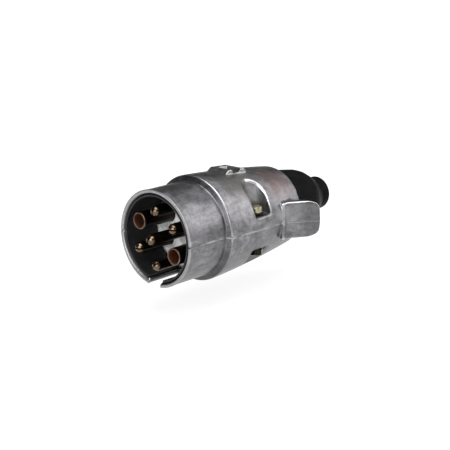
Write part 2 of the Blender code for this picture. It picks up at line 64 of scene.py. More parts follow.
FAR = 40.0
SHROUD_R = 21.75
SHROUD_BORE_R = 19.75
FLANGE_Y = 23.1
FLANGE_R = 24.3
BARREL_START = 24.0
BARREL_END = 77.0
WALL = 2.4
CONTACT_RING_R = 12.3
PIN_R = 2.5
TERMINAL_R = 3.3
SLEEVE_R = 3.9
SLEEVE_BORE_R = 3.1
SCREW_X = 17.2
SCREW_Y = 46.9
POCKET_R = 6.0
SEAM_GAP = 0.01             # half the gap between the shells before their edges are rounded
SEAM_KNEE = 22.0
SEAM_DROP = 2.2
UPPER_FLOOR = 4.6
LOWER_FLOOR = 11.0
KEY_CENTRE = -0.95
KEY_HALF = 3.55
KEY_LENGTH = 19.4
KEY_TOP = -7.0
LUG_NOTCH = (44.0, 49.4)
PIN_TIP = -1.2
CENTRE_TIP = -4.2
POCKET_WALL = 1.8           # metal left round the screw pockets inside the barrel
SCREW_HOLE_R = 2.0
LUG_HALF = 6.0
NOTCH_LEFT = -3.2           # the lug's notch is open on the right only
NOTCH_FLOOR = 22.6
BARREL_SLOPE = 0.046        # the barrel narrows by this per mm behind BARREL_START,
BARREL_CURVE = 0.00088      # and by this per mm squared
SHROUD_CLEAR = (1.0, FLANGE_Y - 1.3)    # the turned outside, clear of its edges
BARREL_CLEAR = (25.6, 75.4)
WING_MIDDLE = -0.9
WING_HALF = 8.8
WING_CORNER = 7.0
WING_END = 78.1
HEAD_SEAT = 5.8             # under the housing screws' heads
WASHER_SEAT = 4.9
NUT_TOP = -11.3
CLAMP_SEAT = -0.4           # under the clamp screws' heads
POST_X = (6.4, 12.2)
POST_TOP = -2.6
SADDLE_Y = (60.5, 66.5)
CLAMP_SCREW_X = 9.3
CLAMP_SCREW_Y = 63.5
CLAMP_HOLE_R = 1.55
CLAMP_HOLE_FOOT = -10.5
CONTACT_BACK = 39.0
CENTRE_BACK = 50.0
TERMINAL_INSET = 4.5        # from a contact's back end to its terminal screw
CENTRE_SLOT_ANGLE = -70.0
VOXEL = 0.3
SLEEVE_RED = 0.36           # how far past its bore a sleeve is still red-brown
DISC_LIP_R = 17.55
FLOOR_CLEARANCE = 14.0

PIN_ANGLES = {"top": (90.0, 90.0), "upper_right": (30.0, -60.0), "bottom": (-90.0, -45.0),
              "lower_left": (210.0, 120.0)}
SLEEVE_ANGLES = {"upper_left": 150.0, "lower_right": -30.0}

# ---------------------------------------------------------------- tones by place (stains and painted highlights), light and camera

# centre (mm), reach (mm), strength, colour
STAINS = (
    ((12.0, 66.0, 17.0), 13.0, 0.65, (0.17, 0.115, 0.105)),
    ((9.0, 40.0, 21.0), 14.0, 0.5, (0.17, 0.16, 0.135)),
)
# painted highlights by the wing roots and on the wing faces, the same on both sides
WING_HIGHLIGHTS = (
    ((22.0, 60.3, 3.0), 5.0, 0.5, (0.45, 0.45, 0.46)),
    ((24.0, 66.5, 2.0), 6.5, 0.35, (0.30, 0.30, 0.31)),
)
WORLD_LEVEL = 0.12
FLOOR_GLOW = 0.86
FLOOR_HALF = 12.0           # metres
# direction, inner and outer half-angle in degrees, brightness
SOFTBOXES = (
    ((0.25, -0.15, 0.95), 18.0, 36.0, 5.2),
    ((0.56, 0.70, 0.44), 8.0, 29.5, 3.1),
    ((0.0, 0.70, 0.70), 10.0, 30.0, 0.8),
    ((0.35, -0.90, 0.25), 10.0, 30.0, 4.6),
)
# radians and metres, fitted to the photo
CAMERA_TURN = 0.751011622
CAMERA_RISE = 0.269727992
CAMERA_ROLL = -0.00949355641
CAMERA_DISTANCE = 0.479567524
CAMERA_RIGHT = 0.030549
CAMERA_UP = 0.006090
CAMERA_LENS = 88.244        # mm, on a 36 mm sensor

# ---------------------------------------------------------------- mesh helpers


def rounded(points, radius, steps=4, closed=False):
    """Replaces the corners of a 2-D outline with arcs; radius is one number or one per point."""
    count = len(points)
    radii = radius if isinstance(radius, (list, tuple)) else [radius] * count
    out = []
    for i, point in enumerate(points):
        if not closed and i in (0, count - 1) or radii[i] <= 0.0:
            out.append(tuple(point))
            continue
        p = Vector(point)
        a = Vector(points[i - 1]) - p
        b = Vector(points[(i + 1) % count]) - p
        if a.length < 1e-6 or b.length < 1e-6:
            out.append(tuple(point))
            continue
        angle = a.angle(b)
        if angle > math.radians(174.0):
            out.append(tuple(point))
            continue
        reach = min(radii[i] / math.tan(angle / 2), 0.48 * a.length, 0.48 * b.length)
        start = p + a.normalized() * reach
        end = p + b.normalized() * reach
        for k in range(steps + 1):
            t = k / steps
            out.append(tuple(start * (1 - t) ** 2 + p * (2 * t * (1 - t)) + end * t ** 2))
    return out


def to_mesh(name, bm):
    """A mesh from a bmesh, which is used up."""
    bmesh.ops.recalc_face_normals(bm, faces=bm.faces)
    mesh = bpy.data.meshes.new(name)
    bm.to_mesh(mesh)
    bm.free()
    return mesh


def lathe(name, outline, segments, axis="Y", closed=False):
    """A solid of revolution: outline holds (radius, distance along the axis) in mm."""
    along = Vector((0, 1, 0)) if axis == "Y" else Vector((0, 0, 1))
    bm = bmesh.new()
    verts = [bm.verts.new(Vector((r * MM, 0, 0)) + along * (a * MM)) for r, a in outline]
    edges = [bm.edges.new(pair) for pair in zip(verts, verts[1:])]
    if closed:
        edges.append(bm.edges.new((verts[-1], verts[0])))
    bmesh.ops.spin(bm, geom=verts + edges, cent=(0, 0, 0), axis=along, angle=math.tau,
                   steps=segments, use_merge=True)
    bmesh.ops.remove_doubles(bm, verts=bm.verts, dist=1e-7)
    return to_mesh(name, bm)


def prism(name, outline, start, end, place):
    """A flat outline (mm) pushed from start to end; place(u, v, depth) gives x, y, z."""
    bm = bmesh.new()
    face = bm.faces.new([bm.verts.new(Vector(place(u, v, start)) * MM) for u, v in outline])
    moved = bmesh.ops.extrude_face_region(bm, geom=[face])["geom"]
    push = (Vector(place(0, 0, end)) - Vector(place(0, 0, start))) * MM
    bmesh.ops.translate(bm, vec=push, verts=[g for g in moved if isinstance(g, bmesh.types.BMVert)])
    return to_mesh(name, bm)


def side_view(u, v, depth):
    """An outline in (y, z), pushed along X."""
    return depth, u, v


def plan_view(u, v, depth):
    """An outline in (x, y), pushed along Z."""
    return u, v, depth


def front_view(u, v, depth):
    """An outline in (x, z), pushed along Y."""
    return u, depth, v


def block(name, low, high):
    """A box between two corners in mm."""
    bm = bmesh.new()
    size = [(b - a) * MM for a, b in zip(low, high)]
    centre = [(a + b) / 2 * MM for a, b in zip(low, high)]
    matrix = Matrix.Translation(centre) @ Matrix.Diagonal((*size, 1.0))
    bmesh.ops.create_cube(bm, size=1.0, matrix=matrix)
    return to_mesh(name, bm)


def rod(name, x, other, radius, start, end, axis="Y", segments=48):
    """A cylinder along Y at (x, z = other), or along Z at (x, y = other)."""
    mesh = lathe(name, [(0, start), (radius, start), (radius, end), (0, end)], segments, axis)
    offset = (x, 0, other) if axis == "Y" else (x, other, 0)
    mesh.transform(Matrix.Translation(Vector(offset) * MM))
    return mesh


def scratch(mesh):
    """An object in the scene that shows the mesh."""
    obj = bpy.data.objects.new(mesh.name, mesh)
    bpy.context.scene.collection.objects.link(obj)
    return obj


def drop(obj):
    """Removes an object, and its mesh if nothing else uses it."""
    mesh = obj.data
    bpy.data.objects.remove(obj)
    if mesh.users == 0:
        bpy.data.meshes.remove(mesh)


def bake(obj):
    """The object's mesh with its modifiers applied."""
    mesh = bpy.data.meshes.new_from_object(obj.evaluated_get(bpy.context.evaluated_depsgraph_get()))
    mesh.name = obj.name
    return mesh


def minus(mesh):
    return "DIFFERENCE", mesh


def cut(mesh, tools):
    """Applies Booleans: tools is a list of (operation, mesh)."""
    target = scratch(mesh)
    others = []
    for operation, tool_mesh in tools:
        other = scratch(tool_mesh)
        other.hide_render = True
        modifier = target.modifiers.new(tool_mesh.name, "BOOLEAN")
        modifier.operation = operation
        modifier.solver = "MANIFOLD"
        modifier.object = other
        others.append(other)
    result = bake(target)
    for obj in (target, *others):
        drop(obj)
    return result


def modified(mesh, *steps):
    """Applies modifiers, each given as (type, {setting: value})."""
    target = scratch(mesh)
    for kind, settings in steps:
        modifier = target.modifiers.new(kind, kind)
        for key, value in settings.items():
            setattr(modifier, key, value)
    result = bake(target)
    drop(target)
    return result


def bevelled(mesh, width, segments=3):
    """Bevels the edges sharper than 40 degrees, by a width in mm."""
    return modified(mesh, ("BEVEL", {"width": width * MM, "segments": segments, "limit_method": "ANGLE",
                                     "angle_limit": math.radians(40.0), "use_clamp_overlap": True,
                                     "harden_normals": False}))


def piece(name, mesh, material, body, slot, *nodes, sharp=40.0):
    """Shows a mesh as part of the plug, in place of the CAD nodes it stands for."""
    mesh.name = name
    mesh.materials.clear()
    mesh.materials.append(material)
    if sharp:
        mesh.shade_smooth()
        mesh.set_sharp_from_angle(angle=math.radians(sharp))
    obj = scratch(mesh)
    obj.name = name
    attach(obj, body)
    if nodes:
        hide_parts(*nodes)
    return obj


def moved(mesh, location=(0, 0, 0), turn_y=0.0, turn_z=0.0):
    """Turns a mesh about Z, then about Y, and puts it at a place in mm."""
    matrix = Matrix.Translation(Vector(location) * MM)
    matrix = matrix @ Matrix.Rotation(turn_y, 4, "Y") @ Matrix.Rotation(turn_z, 4, "Z")
    mesh.transform(matrix)
    return mesh


def ring_point(angle, radius=CONTACT_RING_R):
    """The (x, z) of a place on the ring of contacts, in mm; the angle is from +X towards +Z."""
    return radius * math.cos(math.radians(angle)), radius * math.sin(math.radians(angle))


# ---------------------------------------------------------------- material helpers


class Nodes:
    """Short calls for building one material's nodes."""

    def __init__(self, name):
        self.material = bpy.data.materials.new(name)
        self.material.use_nodes = True
        self.tree = self.material.node_tree
        self.shader = self.tree.nodes["Principled BSDF"]
        self.coords = self.tree.nodes.new("ShaderNodeTexCoord").outputs["Object"]

    def link(self, source, target):
        self.tree.links.new(source, target)

    def add(self, kind, **settings):
        node = self.tree.nodes.new(kind)
        for key, value in settings.items():
            setattr(node, key, value)
        return node

    def set(self, **values):
        for key, value in values.items():
            self.shader.inputs[key.replace("_", " ")].default_value = value

    def noise(self, scale, detail=4.0, rough=0.55, stretch=(1, 1, 1), distortion=0.0):
        """Noise whose scale is per millimetre."""
        mapping = self.add("ShaderNodeMapping")
        mapping.inputs["Scale"].default_value = [1000.0 * s for s in stretch]
        self.link(self.coords, mapping.inputs["Vector"])
        node = self.add("ShaderNodeTexNoise")
        node.inputs["Scale"].default_value = scale
        node.inputs["Detail"].default_value = detail
        node.inputs["Roughness"].default_value = rough
        node.inputs["Distortion"].default_value = distortion
        self.link(mapping.outputs["Vector"], node.inputs["Vector"])
        return node.outputs["Fac"]

    def ramp(self, source, stops):
        """Colour ramp: stops is a list of (position, grey or (r, g, b))."""
        node = self.add("ShaderNodeValToRGB")
        ramp = node.color_ramp
        while len(ramp.elements) < len(stops):
            ramp.elements.new(0.5)
        for element, (position, value) in zip(ramp.elements, stops):
            rgb = value if isinstance(value, tuple) else (value,) * 3
            element.position = position
            element.color = (*rgb, 1.0)
        self.link(source, node.inputs["Fac"])
        return node.outputs["Color"]

    def value(self, source, low, high, out_low=0.0, out_high=1.0):
        """Maps low..high to out_low..out_high, held at the ends."""
        node = self.add("ShaderNodeMapRange")
        node.inputs["From Min"].default_value = low
        node.inputs["From Max"].default_value = high
        node.inputs["To Min"].default_value = out_low
        node.inputs["To Max"].default_value = out_high
        self.link(source, node.inputs["Value"])
        return node.outputs["Result"]

    def math(self, operation, a, b):
        node = self.add("ShaderNodeMath", operation=operation)
        for socket, item in zip(node.inputs, (a, b)):
            if isinstance(item, (int, float)):
                socket.default_value = item
            else:
                self.link(item, socket)
        return node.outputs["Value"]

    def mix(self, factor, a, b, blend="MIX"):
        node = self.add("ShaderNodeMix", data_type="RGBA", blend_type=blend)
        sockets = (node.inputs["Factor"], node.inputs[6], node.inputs[7])
        for socket, item in zip(sockets, (factor, a, b)):
            if isinstance(item, (int, float)):
                socket.default_value = item
            elif isinstance(item, tuple):
                socket.default_value = (*item, 1.0)
            else:
                self.link(item, socket)
        return node.outputs[2]

    def bump(self, height, distance, strength=1.0, base=None):
        """Bump of this height in millimetres."""
        node = self.add("ShaderNodeBump")
        node.inputs["Strength"].default_value = strength
        node.inputs["Distance"].default_value = distance * MM
        self.link(height, node.inputs["Height"])
        if base is not None:
            self.link(base, node.inputs["Normal"])
        return node.outputs["Normal"]

    def stored(self, name):
        """A number stored on the mesh's vertices."""
        return self.add("ShaderNodeAttribute", attribute_name=name).outputs["Fac"]

    def along(self, axis):
        """The X, Y or Z of the object coordinates, in metres."""
        node = self.add("ShaderNodeSeparateXYZ")
        self.link(self.coords, node.inputs["Vector"])
        return node.outputs[axis]

    def spot(self, centre, reach, strength):
        """A soft round stain or painted highlight about a point (mm)."""
        node = self.add("ShaderNodeVectorMath", operation="DISTANCE")
        self.link(self.coords, node.inputs[0])
        node.inputs[1].default_value = [c * MM for c in centre]
        return self.value(node.outputs["Value"], reach * MM, 0.35 * reach * MM, 0.0, strength)

    def bore(self, x, z, radius):
        """1 inside a round hole along Y at (x, z) in mm."""
        across = self.math("SUBTRACT", self.along("X"), x * MM)
        upward = self.math("SUBTRACT", self.along("Z"), z * MM)
        square = self.math("ADD", self.math("MULTIPLY", across, across),
                           self.math("MULTIPLY", upward, upward))
        return self.math("LESS_THAN", square, (radius * MM) ** 2)

    def parting_line(self, knee, end, fall, half):
        """1 on the line where the shells meet: level to the knee, then falling towards the end (mm)."""
        line = self.value(self.along("Y"), knee * MM, end * MM, 0.0, -fall * MM)
        away = self.math("ABSOLUTE", self.math("SUBTRACT", self.along("Z"), line), 0.0)
        return self.value(away, half * MM, 0.35 * half * MM)


def cast_aluminium(name):
    """Die-cast metal: cloudy grey with a fine grain, rubbed edges that also carry painted highlights,
    painted shade in its hollows and a painted highlight along the parting line.

    The painted shade on the underside and the wing tips, the stains and the painted highlights by the wing
    roots are set by place on the part.
    """
    n = Nodes(name)
    clouds = n.noise(0.13, 5.0, 0.6, (1, 0.7, 1), 0.6)
    patches = n.noise(0.42, 4.0, 0.65)
    grain = n.noise(2.4, 3.0, 0.65)
    drag = n.noise(0.9, 3.0, 0.6, (1, 0.18, 1))
    color = n.ramp(clouds, [(0.34, (0.100, 0.097, 0.101)), (0.50, (0.158, 0.155, 0.161)),
                            (0.66, (0.250, 0.250, 0.260))])
    tint = n.ramp(patches, [(0.36, (0.70, 0.67, 0.66)), (0.5, (1.0, 0.99, 1.0)), (0.64, (1.26, 1.26, 1.32))])
    color = n.mix(0.85, color, tint, "MULTIPLY")
    # Painted shade: darker towards the underside.
    color = n.mix(n.value(n.along("Z"), -4.0 * MM, -17.0 * MM, 0.0, 0.55), color, (0.085, 0.085, 0.087))
    color = n.mix(n.value(drag, 0.45, 0.8, 0.0, 0.30), color, (0.32, 0.32, 0.33))
    color = n.mix(n.value(grain, 0.35, 0.75, 0.0, 0.25), color, (0.28, 0.28, 0.29))
    for centre, reach, strength, tone in STAINS:
        color = n.mix(n.spot(centre, reach, strength), color, tone)
    # Painted shade darkens creases, the flange step, the inside of the shroud and the lug's notch.
    color = n.mix(n.math("MULTIPLY", n.stored("recess_shade"), 0.85), color, (0.045, 0.043, 0.045))
    # Painted highlights by the wing roots and on the wing faces.
    for side in (-1.0, 1.0):
        for (x, y, z), reach, strength, tone in WING_HIGHLIGHTS:
            color = n.mix(n.spot((side * x, y, z), reach, strength), color, tone)
    # Painted highlight: a pale streak along the parting line.
    seam_highlight = n.parting_line(SEAM_KNEE, BARREL_END, SEAM_DROP, 0.55)
    wear_and_highlight = n.math("MAXIMUM", n.stored("wear_and_highlight"), n.math("MULTIPLY", seam_highlight, n.value(drag, 0.35, 0.6, 0.0, 0.42)))
    # Rubbed edges and painted highlights lighten the metal towards pale grey.
    color = n.mix(n.math("MULTIPLY", wear_and_highlight, 0.9), color, (0.80, 0.80, 0.81))
    # Painted shade: the wing tips darker towards their outer ends.
    color = n.mix(n.value(n.math("ABSOLUTE", n.along("X"), 0.0), 24.5 * MM, 29.0 * MM, 0.0, 0.4), color,
                  (0.08, 0.08, 0.082))
    n.link(color, n.shader.inputs["Base Color"])
    rough = n.value(n.math("ADD", clouds, n.math("MULTIPLY", patches, 0.6)), 0.55, 1.05, 0.28, 0.42)
    n.link(rough, n.shader.inputs["Roughness"])
    waves = n.bump(patches, 0.20, 0.5)
    fine = n.bump(grain, 0.03, 0.6, waves)
    n.link(fine, n.shader.inputs["Normal"])
    n.set(Metallic=1.0)
    return n.material


def turned_brass(name, tip):
    """Worn brass pin: a rubbed brown-gold dome at the tip (mm along Y) and a shaft darkened nearly to black
    as painted shade.
    """
    n = Nodes(name)
    mottling = n.noise(0.55, 4.0, 0.6)
    color = n.ramp(mottling, [(0.3, (0.09, 0.062, 0.042)), (0.55, (0.16, 0.115, 0.075)),
                              (0.75, (0.28, 0.215, 0.14))])
    # Painted shade: the shaft behind the dome goes nearly black.
    depth = n.value(n.along("Y"), (tip + 1.0) * MM, (tip + 2.3) * MM)
    color = n.mix(n.math("MULTIPLY", depth, 0.96), color, (0.022, 0.015, 0.012))
    n.link(color, n.shader.inputs["Base Color"])
    rough = n.value(mottling, 0.3, 0.7, 0.22, 0.13)
    n.link(n.math("ADD", rough, n.math("MULTIPLY", depth, 0.2)), n.shader.inputs["Roughness"])
    rings = n.noise(3.5, 2.0, 0.5, (0.15, 1, 0.15))
    n.link(n.bump(rings, 0.012, 0.5), n.shader.inputs["Normal"])
    n.set(Metallic=1.0)
    return n.material


def tarnished_sleeve(name):
    """Tarnished copper alloy: a dull rim, a red-brown bore and an outside darkened as painted shade."""
    n = Nodes(name)
    mottling = n.noise(0.6, 4.0, 0.6)
    rim = n.ramp(mottling, [(0.35, (0.055, 0.033, 0.025)), (0.65, (0.25, 0.16, 0.11))])
    # Painted shade: the outside behind the rim is darkened.
    depth = n.value(n.along("Y"), 1.0 * MM, 1.9 * MM)
    color = n.mix(depth, rim, (0.024, 0.017, 0.015))
    bore = n.math("MAXIMUM", *(n.bore(*ring_point(angle), SLEEVE_BORE_R + SLEEVE_RED)
                               for angle in SLEEVE_ANGLES.values()))
    inside = n.ramp(mottling, [(0.35, (0.036, 0.012, 0.008)), (0.65, (0.085, 0.030, 0.013))])
    color = n.mix(bore, color, inside)
    n.link(color, n.shader.inputs["Base Color"])
    n.link(n.value(mottling, 0.3, 0.7, 0.40, 0.28), n.shader.inputs["Roughness"])
    n.link(n.value(bore, 0.0, 1.0, 1.0, 0.25), n.shader.inputs["Metallic"])
    n.link(n.bump(mottling, 0.05, 0.5), n.shader.inputs["Normal"])
    return n.material


def bright_brass(name, level=1.0):
    """Yellow brass of the housing screws; a lower level paints the nuts and washers nearly black as painted
    shade.
    """
    n = Nodes(name)
    mottling = n.noise(0.8, 4.0, 0.6)
    dull, clean = (tuple(level * c for c in tone) for tone in ((0.22, 0.19, 0.125), (0.46, 0.41, 0.29)))
    n.link(n.ramp(mottling, [(0.3, dull), (0.7, clean)]), n.shader.inputs["Base Color"])
    n.link(n.value(mottling, 0.3, 0.7, 0.36, 0.22), n.shader.inputs["Roughness"])
    n.link(n.bump(n.noise(3.0, 2.0), 0.02, 0.4), n.shader.inputs["Normal"])
    n.set(Metallic=1.0)
    return n.material


def zinc_plate(name):
    """Bright zinc plating, faintly blue and yellow."""
    n = Nodes(name)
    clouds = n.noise(0.4, 4.0, 0.6)
    color = n.ramp(clouds, [(0.3, (0.52, 0.54, 0.57)), (0.55, (0.66, 0.66, 0.66)),
                            (0.75, (0.68, 0.66, 0.58))])
    n.link(color, n.shader.inputs["Base Color"])
    n.link(n.value(clouds, 0.3, 0.7, 0.38, 0.26), n.shader.inputs["Roughness"])
    n.link(n.bump(n.noise(2.5, 2.0), 0.02, 0.4), n.shader.inputs["Normal"])
    n.set(Metallic=1.0)
    return n.material


def black_plastic(name):
    """Black moulded plastic with a fine spark-eroded grain."""
    n = Nodes(name)
    patches = n.noise(0.25, 3.0, 0.5)
    grain = n.noise(3.2, 2.0, 0.6)
    n.link(n.ramp(patches, [(0.35, (0.007, 0.007, 0.008)), (0.7, (0.015, 0.015, 0.016))]),
           n.shader.inputs["Base Color"])
    n.set(Specular_IOR_Level=0.25)
    n.link(n.value(grain, 0.3, 0.7, 0.34, 0.50), n.shader.inputs["Roughness"])
    n.link(n.bump(grain, 0.02, 0.5), n.shader.inputs["Normal"])
    return n.material


def light_plastic(name):
    """Soiled pale plastic, set nearly black in its upper part as painted shade, with a metallic sheen on its
    lip.
    """
    n = Nodes(name)
    dirt = n.noise(0.3, 5.0, 0.6)
    color = n.ramp(dirt, [(0.32, (0.40, 0.40, 0.41)), (0.58, (1.0, 1.0, 1.0))])
    # Painted shade: the disc's upper part is nearly black.
    top = n.value(n.along("Z"), 7.5 * MM, 9.5 * MM)
    color = n.mix(n.math("MULTIPLY", top, 0.97), color, (0.012, 0.012, 0.012))
    n.link(color, n.shader.inputs["Base Color"])
    n.link(n.math("MAXIMUM", top, n.value(dirt, 0.3, 0.7, 0.30, 0.20)), n.shader.inputs["Roughness"])
    n.link(n.bump(n.noise(2.0, 2.0), 0.02, 0.4), n.shader.inputs["Normal"])
    lip = n.math("SUBTRACT", 1.0, n.math("MAXIMUM", top, n.bore(0.0, 0.0, DISC_LIP_R)))
    n.link(n.math("ADD", n.math("MULTIPLY", lip, 0.85), 0.1), n.shader.inputs["Metallic"])
    return n.material


def black_rubber(name):
    """Black moulded rubber with a soft bloom."""
    n = Nodes(name)
    bloom = n.noise(0.16, 4.0, 0.6)
    grain = n.noise(2.6, 3.0, 0.6)
    n.link(n.ramp(bloom, [(0.35, (0.0025, 0.0025, 0.0025)), (0.7, (0.0058, 0.005, 0.005))]),
           n.shader.inputs["Base Color"])
    n.link(n.value(grain, 0.3, 0.7, 0.36, 0.48), n.shader.inputs["Roughness"])
    n.link(n.bump(grain, 0.03, 0.5, n.bump(n.noise(0.2, 2.0), 0.15, 0.4)), n.shader.inputs["Normal"])
    n.set(Specular_IOR_Level=0.02)
    return n.material


# ---------------------------------------------------------------- housing


def barrel_radius(y):
    back = y - BARREL_START
    return FLANGE_R - BARREL_SLOPE * back - BARREL_CURVE * back * back


def housing_outside():
    """(radius, y) of the turned outside: a slightly flared rim, shroud, flange and barrel."""
    corners = [(0.0, -0.1), (SHROUD_R + 0.28, -0.1), (SHROUD_R, 0.95), (SHROUD_R, FLANGE_Y - 0.8),
               (FLANGE_R, FLANGE_Y + 0.4)]
    radii = [0.0, 0.15, 0.0, 0.3, 0.7]
    for k in range(13):
        y = BARREL_START + 1.5 + (BARREL_END - BARREL_START - 1.5) * k / 12
        corners.append((barrel_radius(y), y))
        radii.append(0.0)
    radii[-1] = 0.8
    corners.append((0.0, BARREL_END))
    radii.append(0.0)
    return rounded(corners, radii)


def housing_inside():
    """(radius, y) of the cavity, with the carrier's groove and the boot's rear opening."""
    points = [(0.0, -1.0), (SHROUD_BORE_R + 0.8, -1.0), (SHROUD_BORE_R + 0.8, 0.0), (SHROUD_BORE_R, 1.0),
              (SHROUD_BORE_R, 25.0), (21.7, 25.0), (21.7, 28.0), (20.05, 28.0),
              (20.05, 29.5)]
    for k in range(9):
        y = 31.0 + (70.9 - 31.0) * k / 8
        points.append((barrel_radius(y) - WALL, y))
    points += [(17.9, 72.4), (15.9, 72.4), (15.9, 75.4), (17.9, 75.4), (17.9, 78.0), (0.0, 78.0)]
    return points


def wing(side):
    """Finger wing with rounded outer corners and a rib in front of its root."""
    plan = [(20.0, 60.6), (21.5, 60.2), (22.35, 60.7), (22.5, 61.6), (22.0, 62.6), (22.0, 63.1),
            (24.1, 66.6), (26.5, 70.4), (28.6, 73.7), (30.2, 76.2), (30.5, 77.4), (29.6, 78.3),
            (28.1, 78.1), (25.6, 75.2), (22.9, 72.2), (20.0, 70.2), (19.0, 69.0)]
    low, high = WING_MIDDLE - WING_HALF, WING_MIDDLE + WING_HALF
    plan = [(side * x, y) for x, y in rounded(plan, 0.5, 3, True)]
    plate = prism(f"wing_{side}", plan, low, high, plan_view)
    outline = [(FLANGE_Y, low), (FLANGE_Y, high), (WING_END, high), (WING_END, low)]
    outline = rounded(outline, [0.0, 0.0, WING_CORNER, WING_CORNER], 14, True)
    return cut(plate, [("INTERSECT", prism("corners", outline, side * 15.0, side * FAR, side_view))])


def other_half(upper):
    """Everything beyond the parting surface, which is taken away from a shell."""
    offset = SEAM_GAP if upper else -SEAM_GAP
    far_z = -FAR if upper else FAR
    outline = [(-FAR, offset), (SEAM_KNEE, offset), (BARREL_END, offset - SEAM_DROP),
               (2 * BARREL_END, offset - SEAM_DROP), (2 * BARREL_END, far_z), (-FAR, far_z)]
    return prism("other_half", outline, -FAR, FAR, side_view)


def key_block(clearance):
    half = KEY_HALF + clearance
    return block("key", (KEY_CENTRE - half, -1.0, -FAR), (KEY_CENTRE + half, KEY_LENGTH, KEY_TOP))


def cast_shell(upper):
    """One half of the housing, voxel-remeshed so that every edge is rounded as in a casting."""
    tools = [("UNION", wing(1)), ("UNION", wing(-1))]
    if upper:
        lug_side = [(39.2, 20.0), (39.2, 22.6), (41.6, 24.4), (51.8, 23.7), (53.2, 22.2), (53.2, 20.0)]
        lug = prism("lug", rounded(lug_side, 0.7, 3, True), -LUG_HALF, LUG_HALF, side_view)
        tools.append(("UNION", lug))
    tools.append(minus(other_half(upper)))
    kept = []
    for side in (-1, 1):
        wall_r = POCKET_R + POCKET_WALL
        kept.append(minus(rod("boss", side * SCREW_X, SCREW_Y, wall_r, -FAR, FAR, "Z", 64)))
        if not upper:
            near, out = sorted(side * x for x in POST_X)
            kept.append(minus(block("post", (near, SADDLE_Y[0], -FAR), (out, SADDLE_Y[1], POST_TOP))))
    tools.append(minus(cut(lathe("cavity", housing_inside(), 160), kept)))
    low, high = (UPPER_FLOOR, FAR) if upper else (-FAR, -LOWER_FLOOR)
    for side in (-1, 1):
        pocket = rod("pocket", side * SCREW_X, SCREW_Y, POCKET_R, low, high, "Z", 64)
        near, out = sorted((side * SCREW_X, side * FAR))
        opening = block("opening", (near, SCREW_Y - POCKET_R, low), (out, SCREW_Y + POCKET_R, high))
        tools.append(minus(cut(pocket, [("UNION", opening)])))
        tools.append(minus(rod("hole", side * SCREW_X, SCREW_Y, SCREW_HOLE_R, -FAR, FAR, "Z", 32)))
    if upper:
        notch = block("notch", (NOTCH_LEFT, LUG_NOTCH[0], NOTCH_FLOOR), (FAR, LUG_NOTCH[1], FAR))
        tools.append(minus(notch))
    else:
        tools.append(minus(key_block(0.0)))
        for side in (-1, 1):
            tools.append(minus(rod("clamp_hole", side * CLAMP_SCREW_X, CLAMP_SCREW_Y, CLAMP_HOLE_R,
                                   CLAMP_HOLE_FOOT, 0.0, "Z", 24)))
    mesh = cut(lathe("shell", housing_outside(), 192), tools)
    mesh = modified(mesh,
                    ("REMESH", {"mode": "VOXEL", "voxel_size": VOXEL * MM, "adaptivity": 0.0}),
                    ("SMOOTH", {"factor": 0.5, "iterations": 3}))
    mesh = softened(trued(mesh), soft_zone, 50)
    return finish_casting(modified(mesh, ("DECIMATE", {"ratio": 0.4})))


def points_of(mesh):
    """The vertices' positions in mm."""
    points = np.empty(len(mesh.vertices) * 3, dtype=np.float32)
    mesh.vertices.foreach_get("co", points)
    return points.reshape(-1, 3) / MM


def turned_parts(y):
    """Whether each y is on the shroud's or the barrel's turned outside, clear of the edges."""
    return tuple((y > start) & (y < end) for start, end in (SHROUD_CLEAR, BARREL_CLEAR))


def turned_zones(points):
    """For every vertex, its miss from the turned outside and how surely it belongs to it (0 to 1)."""
    radius = np.hypot(points[:, 0], points[:, 2])
    y = points[:, 1]
    on_shroud, on_barrel = turned_parts(y)
    miss = radius - np.where(on_shroud, SHROUD_R, barrel_radius(y))
    belongs = np.clip((0.24 - np.abs(miss)) / 0.14, 0.0, 1.0) * (on_shroud | on_barrel)
    return radius, miss, belongs


def trued(mesh):
    """Puts the remeshed outside back on its exact turned radius, away from the edges."""
    points = points_of(mesh)
    radius, miss, belongs = turned_zones(points)
    scale = 1.0 - belongs * miss / radius
    points[:, 0] *= scale
    points[:, 2] *= scale
    mesh.vertices.foreach_set("co", (points * MM).ravel())
    return mesh


def softened(mesh, chosen, iterations):
    """Rounds off the chosen part of a mesh: chosen(x, y, z) in mm gives a weight from 0 to 1."""
    target = scratch(mesh)
    group = target.vertex_groups.new(name="chosen")
    for vertex in mesh.vertices:
        weight = chosen(*(vertex.co / MM))
        if weight > 0.0:
            group.add([vertex.index], weight, "REPLACE")
    modifier = target.modifiers.new("soften", "SMOOTH")
    modifier.factor = 0.5
    modifier.iterations = iterations
    modifier.vertex_group = "chosen"
    result = bake(target)
    drop(target)
    return result


def seam_height(y):
    """The parting surface's z at one y, in mm."""
    return -SEAM_DROP * min(1.0, max(0.0, (y - SEAM_KNEE) / (BARREL_END - SEAM_KNEE)))


def soft_zone(x, y, z):
    """The wings' free parts, the pockets' mouths and the lug, away from the parting line."""
    radius = math.hypot(x, z)
    weight = 0.0
    if y > 57.5 and abs(x) > 16.5 and abs(z) < 11.5:
        weight = min(1.0, max(0.0, (radius - barrel_radius(y) + 0.7) / 0.7))
    elif abs(y - SCREW_Y) < POCKET_R + 2.4 and abs(radius - barrel_radius(y)) < 1.6:
        away = abs(math.hypot(abs(x) - SCREW_X, y - SCREW_Y) - POCKET_R)
        weight = min(1.0, max(0.0, 2.4 - away))
    if z > 21.2 and 38.0 < y < 54.5 and abs(x) < 7.5:
        weight = max(weight, 0.3)
    return weight * min(1.0, max(0.0, (abs(z - seam_height(y)) - 0.8) / 1.5))


def store(mesh, name, values):
    """Stores a number on every vertex for the material to read."""
    attribute = mesh.attributes.new(name, "FLOAT", "POINT")
    attribute.data.foreach_set("value", values.astype(np.float32))


